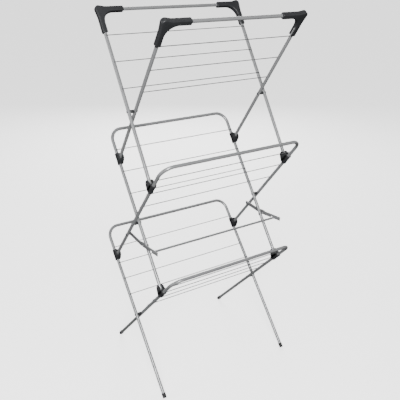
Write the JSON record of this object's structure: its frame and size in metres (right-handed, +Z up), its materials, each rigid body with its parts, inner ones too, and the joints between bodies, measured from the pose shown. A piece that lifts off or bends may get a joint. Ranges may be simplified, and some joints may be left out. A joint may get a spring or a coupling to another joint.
{
  "type": "folding clothes drying rack",
  "caption": "Free-standing folding clothes drying rack: stacked scissor frames of steel tube with thin drying wires, moulded joints, capped feet and a lift-off locking stay.",
  "frame": {"origin": "centre of the footprint on the floor", "axes": "+Z up, +X along the drying wires to the right, -Y to the front"},
  "size_m": [0.596, 0.5078, 1.3794],
  "materials": {
    "tube": "silver-grey epoxy powder coat, satin",
    "wire": "silver-grey epoxy coat, satin",
    "plastic": "charcoal-black moulded polypropylene, fine texture",
    "rivet": "dark zinc-plated steel",
    "stay": "dark grey coated steel strip, satin"
  },
  "bodies": {
    "bottom_rear_frame": {"bottom_rear_connector_left": "plastic", "bottom_rear_connector_right": "plastic", "bottom_rear_feet": "plastic", "bottom_rear_hoop": "tube", "bottom_rear_pins": "rivet", "bottom_rear_wires": "wire", "bottom_rivets": "rivet", "bottom_spacers": "plastic"},
    "bottom_front_frame": {"bottom_front_connector_left": "plastic", "bottom_front_connector_right": "plastic", "bottom_front_feet": "plastic", "bottom_front_hoop": "tube", "bottom_front_pins": "rivet", "bottom_front_wires": "wire"},
    "middle_front_frame": {"middle_front_connector_left": "plastic", "middle_front_connector_right": "plastic", "middle_front_end_plugs": "plastic", "middle_front_hoop": "tube", "middle_front_pins": "rivet", "middle_front_wires": "wire", "middle_rivets": "rivet", "middle_spacers": "plastic", "stay_pivot_rivets": "rivet"},
    "middle_rear_frame": {"middle_rear_connector_left": "plastic", "middle_rear_connector_right": "plastic", "middle_rear_end_plugs": "plastic", "middle_rear_hoop": "tube", "middle_rear_pins": "rivet", "middle_rear_wires": "wire", "stay_catch_studs": "rivet"},
    "top_rear_frame": {"top_rear_bar": "tube", "top_rear_corner_left": "plastic", "top_rear_corner_right": "plastic", "top_rear_end_plugs": "plastic", "top_rear_leg_left": "tube", "top_rear_leg_right": "tube", "top_rear_wires": "wire", "top_rivets": "rivet", "top_spacers": "plastic"},
    "top_front_frame": {"top_front_bar": "tube", "top_front_corner_left": "plastic", "top_front_corner_right": "plastic", "top_front_end_plugs": "plastic", "top_front_leg_left": "tube", "top_front_leg_right": "tube", "top_front_wires": "wire"},
    "stay": {"stay_crossbar": "stay", "stay_strip_left": "stay", "stay_strip_right": "stay"}
  },
  "joints": [
    {"name": "fold", "type": "hinge", "parent": "bottom_rear_frame", "child": "bottom_front_frame", "pos_m": [0, 0, 0.24682], "axis": [-1, 0, 0], "range_deg": [0, 54.6]},
    {"name": "rear_lower_pin", "type": "hinge", "parent": "bottom_rear_frame", "child": "middle_front_frame", "pos_m": [0, 0.15628, 0.44451], "axis": [-1, 0, 0], "range_deg": [0, 54.6]},
    {"name": "front_lower_pin", "type": "hinge", "parent": "bottom_front_frame", "child": "middle_rear_frame", "pos_m": [0, -0.15628, 0.44451], "axis": [1, 0, 0], "range_deg": [0, 54.6]},
    {"name": "front_upper_pin", "type": "hinge", "parent": "middle_front_frame", "child": "top_rear_frame", "pos_m": [0, -0.14201, 0.85037], "axis": [1, 0, 0], "range_deg": [0, 54.6]},
    {"name": "rear_upper_pin", "type": "hinge", "parent": "middle_rear_frame", "child": "top_front_frame", "pos_m": [0, 0.14201, 0.85037], "axis": [-1, 0, 0], "range_deg": [0, 54.6]},
    {"name": "stay_lift", "type": "hinge", "parent": "middle_front_frame", "child": "stay", "pos_m": [0, 0.05054, 0.57826], "axis": [-1, 0, 0], "range_deg": [0, 35]}
  ],
  "couplings": [
    {"joint": "rear_lower_pin", "follows": "fold", "ratio": 1},
    {"joint": "front_lower_pin", "follows": "fold", "ratio": 1},
    {"joint": "front_upper_pin", "follows": "fold", "ratio": 1},
    {"joint": "rear_upper_pin", "follows": "fold", "ratio": 1}
  ]
}
